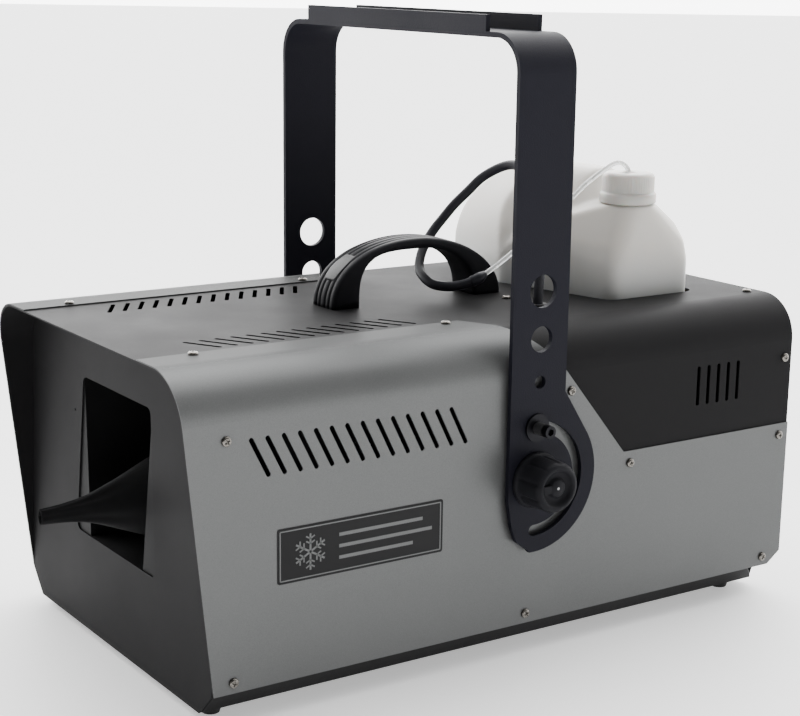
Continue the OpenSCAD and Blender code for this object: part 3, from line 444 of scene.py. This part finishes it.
def make_handle():
    base = HANDLE_LOW.z / MM
    steps, rings = 84, []
    # Across: half widths and how far in from the outer face, as a share of the thickness
    ridge = [0.0, 0.16, 0.20, 0.24, 0.28, 0.50, 0.54, 0.58, 0.62, 0.80]
    depth = [0.0, 0.00, 0.7, 0.7, 0.0, 0.15, 0.85, 0.85, 0.15, 0.35]
    for i in range(steps + 1):
        # Even steps would bunch up at the crown, so they are spread towards the feet
        u = i / steps
        a = math.pi * (1 - u)
        a = a + 0.12 * math.sin(2 * a)
        oy, oz = arch(a, *OUTER_ARCH)
        iy, iz = arch(a, *INNER_ARCH)
        outer, inner = Vector((0, oy, oz)), Vector((0, iy, iz))
        inward = inner - outer
        thick = inward.length
        inward.normalize()
        half = HANDLE_HALF / MM * (1 - 0.10 * math.sin(a) ** 2)
        up = [(half * w, d) for w, d in zip(ridge, depth)]
        up += [(half * 0.92, 0.9), (half * 0.98, 2.2), (half, 4.4)]
        down = [(half, thick * 0.62), (half * 0.985, thick - 3.2), (half * 0.93, thick - 1.2),
                (half * 0.80, thick - 0.2), (half * 0.4, thick), (0, thick)]
        line = up + down
        line += [(-x, d) for x, d in reversed(line[1:-1])]
        rings.append([at(x, (outer + inward * d).y, base + max(0, (outer + inward * d).z))
                      for x, d in line])
    handle = piece("handle_visual", *skin(rings), "housing", "handle_plastic")
    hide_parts("handle", "handle_inserts")
    # Smooth covers over the screws in both shoulders
    for name, first, last in (("handle_cover_front", 157, 131), ("handle_cover_rear", 22, 45)):
        rings = []
        for i in range(13):
            a = math.radians(first + (last - first) * i / 12)
            oy, oz = arch(a, *COVER_ARCH)
            iy, iz = arch(a, *INNER_ARCH)
            inward = Vector((0, iy - oy, iz - oz)).normalized()
            wide = 8.4 * math.sin(math.pi * (0.12 + 0.76 * i / 12)) ** 0.35
            bulge = -0.35 * math.sin(math.pi * i / 12) ** 0.5
            line = [(-wide, 1.4), (-wide, bulge * 0.4), (-wide * 0.9, bulge), (0, bulge - 0.15),
                    (wide * 0.9, bulge), (wide, bulge * 0.4), (wide, 1.4)]
            rings.append([at(x, oy + inward.y * d, base + oz + inward.z * d) for x, d in line])
        piece(name, *skin(rings), "housing", "black_plastic")


make_handle()


# ---- knobs -----------------------------------------------------------------------

def make_knob(side, body):
    low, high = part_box("knob_" + body)
    centre = (low + high) / 2
    base = low.x if side > 0 else high.x
    centre = Vector((base, centre.y, centre.z))
    length = (high.x - low.x) / MM
    profile = [(15, 0), (21.2, 0), (21.9, 0.7), (21.9, 3.2), (21.2, 4.2), (20.3, 5), (20.2, 8),
               (20.0, 14), (19.7, length - 5), (19.2, length - 2.6), (18.0, length - 0.9),
               (16.4, length - 0.2), (15.2, length), (14.2, length - 0.4), (13.4, length - 1.6),
               (12.6, length - 3.6), (8.2, length - 4.0), (7.4, length - 3.4), (6.8, length - 1.4),
               (6.0, length - 0.7), (0.1, length - 0.6)]

    def grip(angle, radius, height):
        on_wall = ease((height / MM - 5) / 3) * (1 - ease((height / MM - length + 4) / 3))
        groove = max(0, math.cos(9 * angle)) ** 6
        return -0.8 * MM * on_wall * groove if radius > 0.017 else 0

    rings = lathe([(r * MM, h * MM) for r, h in profile], 180, centre, (side, 0, 0), grip)
    knob = piece("knob_visual_" + body, *skin(rings), "knob_" + body, "handle_plastic")
    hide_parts("knob_" + body)
    dot = [(0.1, length - 0.9), (1.1, length - 0.9), (1.1, length - 0.5), (0.8, length - 0.3),
           (0.1, length - 0.3)]
    rings = lathe([(r * MM, h * MM) for r, h in dot], 32, centre, (side, 0, 0))
    piece("knob_pin_" + body, *skin(rings), "knob_" + body, "steel")
    # The bridge that makes the ring recess a C
    c = centre + Vector((side * (length - 2.2) * MM, 0, 0))
    corners = [Vector((dx, dy, dz)) for dx in (-1.7, 1.7) for dy in (-13.4, -6.4) for dz in (-3, 3)]
    verts = [c + v * MM for v in corners]
    faces = [(0, 1, 3, 2), (4, 6, 7, 5), (0, 4, 5, 1), (2, 3, 7, 6), (0, 2, 6, 4), (1, 5, 7, 3)]
    piece("knob_bridge_" + body, verts, faces, "knob_" + body, "handle_plastic", smooth=False)


make_knob(1, "right")
make_knob(-1, "left")


# ---- screws ----------------------------------------------------------------------

def screw_head(radius, height):
    """A domed pan head with a cross recess, about +Z, as rings."""
    rings, sides = [], 48
    levels = [(1.0, 0.0), (1.0, 0.3), (0.97, 0.55), (0.9, 0.75), (0.8, 0.88), (0.66, 0.96),
              (0.58, 0.98), (0.5, 1.0), (0.4, 1.0), (0.3, 1.0), (0.2, 1.0), (0.1, 1.0)]
    for share, rise in levels:
        ring = []
        for k in range(sides):
            a = 2 * math.pi * k / sides
            x, y = share * math.cos(a), share * math.sin(a)
            in_cross = min(abs(x), abs(y)) < 0.13 and max(abs(x), abs(y)) < 0.56 and share < 0.62
            sink = 0.75 * (1 - 0.4 * share) if in_cross else 0
            ring.append((x * radius, y * radius, (rise - sink) * height))
        rings.append(ring)
    return rings


def make_screws(node, radius, height, body, slot):
    """Heads for every screw of a node, each turned its own way."""
    verts, faces = [], []
    for n, (low, high) in enumerate(islands(node)):
        size, middle = high - low, (low + high) / 2
        axis = max(range(3), key=lambda i: size[i])
        sign = 1 if middle[axis] > (0.15 if axis == 2 else 0) else -1
        out = Vector([sign if i == axis else 0 for i in range(3)])
        seat = middle.copy()
        seat[axis] = (high if sign > 0 else low)[axis] - sign * height
        side = Vector((0, 0, 1)).cross(out) if axis != 2 else Vector((1, 0, 0))
        turn = Matrix.Rotation(0.7 * n + 0.4, 3, out)
        side = turn @ side
        other = out.cross(side)
        rings = [[seat + side * x + other * y + out * z for x, y, z in ring]
                 for ring in screw_head(radius, height)]
        v, f = skin(rings)
        faces += [tuple(i + len(verts) for i in face) for face in f]
        verts += v
    screws = piece(node + "_visual", verts, faces, body, slot)
    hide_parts(node)


make_screws("cover_screws", 3.75 * MM, 2.2 * MM, "housing", "zinc")


# ---- label -----------------------------------------------------------------------

def make_label():
    """A plain border and a six-armed snowflake on the dark plate."""
    low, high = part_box("name_plate")
    face = high.x
    middle = (low + high) / 2
    wide, tall = (high.y - low.y) / 2, (high.z - low.z) / 2
    verts, faces = [], []

    def bar(a, b, width):
        along = (b - a).normalized()
        across = Vector((0, -along.z, along.y)) * width / 2
        raised = Vector((0.12 * MM, 0, 0))
        n = len(verts)
        verts.extend([a - across, b - across, b + across, a + across])
        verts.extend([p + raised for p in verts[n:n + 4]])
        faces.extend([tuple(n + i for i in f) for f in (
            (0, 1, 2, 3), (7, 6, 5, 4), (0, 4, 5, 1), (1, 5, 6, 2), (2, 6, 7, 3), (3, 7, 4, 0))])

    def spot(y, z):
        return Vector((face, middle.y + y, middle.z + z))

    inset, line = 2.2 * MM, 0.9 * MM
    w, t = wide - inset, tall - inset
    for a, b in (((-w, -t), (w, -t)), ((w, -t), (w, t)), ((w, t), (-w, t)), ((-w, t), (-w, -t))):
        bar(spot(*a), spot(*b), line)
    flake = -wide * 0.62
    arm = tall * 0.66
    for k in range(6):
        a = math.pi * k / 3 + math.pi / 6
        way = Vector((math.cos(a), math.sin(a)))
        bar(spot(flake, 0), spot(flake + way.x * arm, way.y * arm), 1.5 * MM)
        for share in (0.45, 0.72):
            root = way * arm * share
            for turn in (-1, 1):
                b = a + turn * math.pi / 3
                tip = root + Vector((math.cos(b), math.sin(b))) * arm * 0.3
                bar(spot(flake + root.x, root.y), spot(flake + tip.x, tip.y), 1.1 * MM)
    for row, reach in ((0.42, 0.74), (0.0, 0.86), (-0.42, 0.62)):
        bar(spot(-wide * 0.28, tall * row), spot(wide * reach, tall * row), 2.6 * MM)
    piece("label_marks", verts, faces, "housing", "silver_paint", smooth=False)


make_label()


# ---- materials -------------------------------------------------------------------

class Nodes:
    """Short ways to build a node material."""

    def __init__(self, name, colour, roughness, metallic=0.0, **fixed):
        self.material = bpy.data.materials.new(name)
        self.material.use_nodes = True
        self.tree = self.material.node_tree
        self.shader = self.tree.nodes["Principled BSDF"]
        self.shader.inputs["Base Color"].default_value = (*colour, 1)
        self.shader.inputs["Roughness"].default_value = roughness
        self.shader.inputs["Metallic"].default_value = metallic
        for socket, value in fixed.items():
            self.shader.inputs[socket.replace("_", " ")].default_value = value
        self.colour = colour
        self.coords = self.tree.nodes.new("ShaderNodeTexCoord").outputs["Object"]

    def link(self, a, b):
        self.tree.links.new(a, b)

    def stretch(self, scale):
        mapping = self.tree.nodes.new("ShaderNodeMapping")
        mapping.inputs["Scale"].default_value = scale
        self.link(self.coords, mapping.inputs["Vector"])
        return mapping.outputs["Vector"]

    def noise(self, scale, detail=3, rough=0.5, coords=None):
        node = self.tree.nodes.new("ShaderNodeTexNoise")
        node.inputs["Scale"].default_value = scale
        node.inputs["Detail"].default_value = detail
        node.inputs["Roughness"].default_value = rough
        self.link(coords or self.coords, node.inputs["Vector"])
        return node.outputs["Fac"]

    def cells(self, scale):
        node = self.tree.nodes.new("ShaderNodeTexVoronoi")
        node.inputs["Scale"].default_value = scale
        self.link(self.coords, node.inputs["Vector"])
        return node.outputs

    def wave(self, scale, axis, coords=None):
        node = self.tree.nodes.new("ShaderNodeTexWave")
        node.bands_direction = axis
        node.inputs["Scale"].default_value = scale
        self.link(coords or self.coords, node.inputs["Vector"])
        return node.outputs["Fac"]

    def remap(self, value, low, high, to_low, to_high):
        node = self.tree.nodes.new("ShaderNodeMapRange")
        for socket, v in zip(("From Min", "From Max", "To Min", "To Max"),
                             (low, high, to_low, to_high)):
            node.inputs[socket].default_value = v
        self.link(value, node.inputs["Value"])
        return node.outputs["Result"]

    def maths(self, kind, a, b):
        node = self.tree.nodes.new("ShaderNodeMath")
        node.operation = kind
        for socket, value in zip(node.inputs, (a, b)):
            if isinstance(value, (int, float)):
                socket.default_value = value
            else:
                self.link(value, socket)
        return node.outputs[0]

    def tint(self, value, low, high, dark, light):
        """Colour from a value: the base colour times dark at low, and times light at high."""
        ramp = self.tree.nodes.new("ShaderNodeMix")
        ramp.data_type = "RGBA"
        self.link(self.remap(value, low, high, 0, 1), ramp.inputs["Factor"])
        shades = [k if hasattr(k, "__len__") else (k, k, k) for k in (dark, light)]
        ramp.inputs["A"].default_value = (*[c * k for c, k in zip(self.colour, shades[0])], 1)
        ramp.inputs["B"].default_value = (*[c * k for c, k in zip(self.colour, shades[1])], 1)
        self.link(ramp.outputs["Result"], self.shader.inputs["Base Color"])
        return self

    def shine(self, value, low, high, least, most):
        self.link(self.remap(value, low, high, least, most), self.shader.inputs["Roughness"])
        return self

    def bump(self, height, strength, distance):
        node = self.tree.nodes.new("ShaderNodeBump")
        node.inputs["Strength"].default_value = strength
        node.inputs["Distance"].default_value = distance
        self.link(height, node.inputs["Height"])
        self.link(node.outputs["Normal"], self.shader.inputs["Normal"])
        return self


def powder_coat(name, colour, roughness, grain=1.0, gloss=0.3):
    """Powder-coated sheet: orange peel, with slight clouding in colour and gloss."""
    m = Nodes(name, colour, roughness, 0.0, Specular_IOR_Level=gloss)
    peel = m.noise(900, 2, 0.6)
    cloud = m.noise(9, 4, 0.6)
    m.tint(m.maths("ADD", m.maths("MULTIPLY", cloud, 0.7), m.maths("MULTIPLY", peel, 0.3)),
           0.3, 0.7, 0.9, 1.12)
    m.shine(cloud, 0.3, 0.7, roughness - 0.05, roughness + 0.06)
    return m.bump(peel, 0.25 * grain, 0.0004).material


def metallic_paint(name, colour):
    """Silver paint: fine flakes, with its glare at low angles held down."""
    m = Nodes(name, colour, 0.42, 0.6, Specular_Tint=(0.05, 0.05, 0.05, 1.0),
              Specular_IOR_Level=0.12)
    flakes = m.cells(2600)
    cloud = m.noise(5, 4, 0.55)
    sparkle = m.maths("MULTIPLY", flakes["Color"], 0.35)
    m.tint(m.maths("ADD", sparkle, m.maths("MULTIPLY", cloud, 0.65)), 0.25, 0.75, 0.84, 1.14)
    m.shine(cloud, 0.3, 0.7, 0.38, 0.47)
    return m.bump(m.noise(1100, 2), 0.12, 0.0003).material


def moulded(name, colour, roughness, grain=0.3, **fixed):
    """Moulded plastic with a fine spark-eroded grain."""
    fixed.setdefault("Specular_IOR_Level", 0.35)
    m = Nodes(name, colour, roughness, 0.0, **fixed)
    fine, broad = m.noise(1500, 3, 0.6), m.noise(30, 3)
    m.tint(broad, 0.3, 0.7, 0.88, 1.12)
    m.shine(fine, 0.3, 0.7, roughness - 0.06, roughness + 0.08)
    return m.bump(fine, grain, 0.0003).material


def metal(name, colour, roughness, stretch=(40, 1, 1)):
    """Bare or plated metal with drawn or turned marks."""
    m = Nodes(name, colour, roughness, 1.0)
    marks = m.noise(60, 4, 0.7, m.stretch(stretch))
    m.tint(marks, 0.3, 0.7, 0.78, 1.1)
    m.shine(marks, 0.3, 0.7, roughness - 0.07, roughness + 0.12)
    return m.bump(marks, 0.15, 0.0002).material


def cloth(name, colour):
    """Plain-woven polyester: crossed ribs, fuzz and a slight sheen."""
    m = Nodes(name, colour, 0.92, 0.0, Sheen_Weight=0.03, Sheen_Roughness=0.5,
              Specular_IOR_Level=0.1)
    warp, weft = m.wave(520, "Y"), m.wave(520, "Z")
    weave = m.maths("MAXIMUM", warp, weft)
    m.tint(m.maths("ADD", m.maths("MULTIPLY", weave, 0.6), m.maths("MULTIPLY", m.noise(60), 0.4)),
           0.2, 0.9, 0.6, 1.5)
    return m.bump(weave, 0.6, 0.0006).material


def polyethylene(name, colour):
    """Blow-moulded bottle wall: milky, with light passing through; painted shade darkens it low
    down.
    """
    m = Nodes(name, colour, 0.4, 0.0, Subsurface_Weight=0.5, Subsurface_Scale=0.012,
              Specular_IOR_Level=0.4)
    m.shader.inputs["Subsurface Radius"].default_value = (1.0, 0.9, 0.75)
    height = m.tree.nodes.new("ShaderNodeSeparateXYZ")
    m.link(m.coords, height.inputs[0])
    wall = m.noise(14, 3, 0.5)
    # Painted shade: by height, the tint goes from bluish and darker at 0.25 m up to lighter at 0.33
    # m, with random clouding from the wall noise mixed in.
    level = m.maths("ADD", m.remap(height.outputs["Z"], 0.25, 0.33, 0, 1),
                    m.maths("MULTIPLY", wall, 0.5))
    m.tint(level, 0.15, 0.9, (0.80, 0.86, 0.90), (1.02, 1.0, 0.97))
    m.shine(wall, 0.3, 0.7, 0.34, 0.46)
    return m.bump(m.noise(45, 4, 0.6), 0.2, 0.0008).material


def clear_hose(name, colour):
    m = Nodes(name, colour, 0.22, 0.0, Transmission_Weight=0.45, IOR=1.45)
    haze = m.noise(160, 2)
    m.tint(haze, 0.3, 0.7, 0.92, 1.05)
    m.shine(haze, 0.3, 0.7, 0.18, 0.3)
    return m.bump(haze, 0.05, 0.0002).material


FINISHES = {
    "silver_paint": metallic_paint("silver_paint", (0.116, 0.118, 0.118)),
    "dark_paint": powder_coat("dark_paint", (0.0115, 0.0113, 0.0118), 0.55, 1.0, 0.04),
    "black_paint": powder_coat("black_paint", (0.005, 0.005, 0.0055), 0.6, 1.0, 0.1),
    "yoke_paint": powder_coat("yoke_paint", (0.0085, 0.0085, 0.013), 0.52, 1.4, 0.07),
    "motor_paint": powder_coat("motor_paint", (0.12, 0.125, 0.13), 0.4),
    "zinc": metal("zinc", (0.17, 0.16, 0.145), 0.26),
    "steel": metal("steel", (0.32, 0.325, 0.33), 0.35),
    "screw_dark": metal("screw_dark", (0.017, 0.017, 0.019), 0.45),
    "brass": metal("brass", (0.60, 0.43, 0.18), 0.3),
    "blower_alu": metal("blower_alu", (0.7, 0.7, 0.69), 0.4),
    "transformer_iron": metal("transformer_iron", (0.26, 0.19, 0.11), 0.5, (1, 60, 1)),
    "rubber_black": moulded("rubber_black", (0.016, 0.016, 0.017), 0.72),
    "hose_rubber": moulded("hose_rubber", (0.018, 0.018, 0.023), 0.45, 0.12,
                           Specular_IOR_Level=0.2),
    "sock_fabric": cloth("sock_fabric", (0.006, 0.006, 0.0065)),
    "label_black": moulded("label_black", (0.006, 0.006, 0.0065), 0.42, 0.1,
                           Specular_IOR_Level=0.15),
    "black_plastic": moulded("black_plastic", (0.016, 0.016, 0.018), 0.5),
    "handle_plastic": moulded("handle_plastic", (0.0115, 0.0115, 0.0135), 0.48,
                              Specular_IOR_Level=0.05),
    "white_plastic": moulded("white_plastic", (0.75, 0.74, 0.69), 0.4),
    "tank_plastic": polyethylene("tank_plastic", (0.56, 0.545, 0.52)),
    "cap_plastic": moulded("cap_plastic", (0.52, 0.51, 0.475), 0.38, 0.1,
                           Subsurface_Weight=0.3, Subsurface_Scale=0.01),
    "clear_plastic": clear_hose("clear_plastic", (0.88, 0.89, 0.88)),
    "board_green": moulded("board_green", (0.02, 0.15, 0.06), 0.3, 0.1),
    "board_blue": moulded("board_blue", (0.04, 0.12, 0.32), 0.35),
    "rocker_red": moulded("rocker_red", (0.3, 0.008, 0.007), 0.34, 0.05,
                         Specular_IOR_Level=0.12),
}
SLOT_OF = {row["node"]: row["material_slot"] for row in frame["record"]["subparts"]}


def dress():
    """Gives every CAD node and every new piece the material of its slot."""
    for name, obj in NODES.items():
        finish = FINISHES[SLOT_OF[name]]
        if not obj.material_slots:
            obj.data.materials.append(finish)
        for i in range(len(obj.material_slots)):
            obj.material_slots[i].material = finish
    for obj in bpy.context.scene.objects:
        if "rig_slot" in obj and obj.name not in NODES:
            obj.data.materials.clear()
            obj.data.materials.append(FINISHES[obj["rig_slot"]])


dress()


# ---- room ------------------------------------------------------------------------

def make_floor():
    size = 80       # metres each way, so that its edge stays far behind the machine
    mesh = bpy.data.meshes.new("floor")
    mesh.from_pydata([(-size, -size, 0), (size, -size, 0), (size, size, 0), (-size, size, 0)],
                     [], [(0, 1, 2, 3)])
    floor = bpy.data.objects.new("floor", mesh)
    bpy.context.scene.collection.objects.link(floor)
    m = Nodes("floor", (0.86, 0.86, 0.86), 0.6, Emission_Color=(1, 1, 1, 1),
              Emission_Strength=0.5)
    m.tint(m.noise(3), 0.3, 0.7, 0.985, 1.01)
    mesh.materials.append(m.material)


def area_light(name, place, aim, size, power):
    light = bpy.data.lights.new(name, "AREA")
    light.shape = "RECTANGLE"
    light.size, light.size_y = size
    light.energy = power
    obj = bpy.data.objects.new(name, light)
    obj.location = place
    obj.rotation_euler = (Vector(aim) - Vector(place)).to_track_quat("-Z", "Y").to_euler()
    bpy.context.scene.collection.objects.link(obj)


def make_light():
    world = bpy.data.worlds.new("studio")
    world.use_nodes = True
    tree = world.node_tree
    background = tree.nodes["Background"]
    background.inputs["Color"].default_value = (1, 1, 1, 1)
    # A bright backdrop behind the machine, and a dimmer room round the viewer
    coords = tree.nodes.new("ShaderNodeTexCoord").outputs["Generated"]
    towards = tree.nodes.new("ShaderNodeVectorMath")
    towards.operation = "DOT_PRODUCT"
    towards.inputs[1].default_value = (-0.80, 0.58, 0.12)
    tree.links.new(coords, towards.inputs[0])
    spread = tree.nodes.new("ShaderNodeMapRange")
    spread.interpolation_type = "SMOOTHSTEP"
    for socket, v in zip(("From Min", "From Max", "To Min", "To Max"), (-0.20, 0.80, 0.16, 8.0)):
        spread.inputs[socket].default_value = v
    tree.links.new(towards.outputs["Value"], spread.inputs["Value"])
    tree.links.new(spread.outputs["Result"], background.inputs["Strength"])
    bpy.context.scene.world = world
    area_light("overhead", (-0.2, 0.6, 2.4), (0, 0, 0.1), (2.6, 2.2), 26)
    area_light("side", (2.4, 1.5, 1.0), (0, 0.1, 0.1), (1.4, 1.2), 3)
    area_light("front", (-0.6, -2.4, 1.5), (0, 0, 0.2), (1.6, 1.0), 1.5)


make_floor()
make_light()
